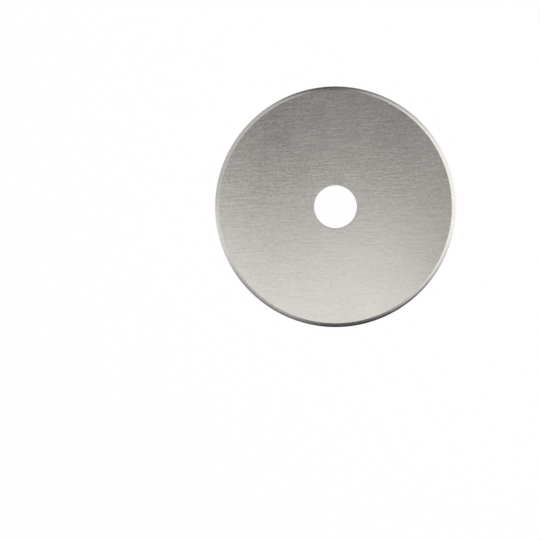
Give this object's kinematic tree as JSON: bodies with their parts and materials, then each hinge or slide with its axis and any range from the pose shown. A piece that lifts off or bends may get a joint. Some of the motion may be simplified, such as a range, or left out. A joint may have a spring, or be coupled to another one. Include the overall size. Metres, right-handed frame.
{
  "type": "rotary cutter blade",
  "caption": "Thin round steel blade with a centre bore for the spindle and a double-bevelled, honed cutting rim, for a hand-held rotary fabric cutter.",
  "frame": {"origin": "on the bore's axis, in the plane of the underside that the blade lies on", "axes": "+Z along the bore's axis and up through the thickness; X and Y lie in the underside, and the brushed grain of the faces runs along X"},
  "size_m": [0.045, 0.045, 0.0003],
  "materials": {
    "blade_steel": "fine one-way brushed faces, bright ground bevel and honed edge"
  },
  "bodies": {
    "root": {"cutter_blade": "blade_steel"}
  },
  "joints": []
}
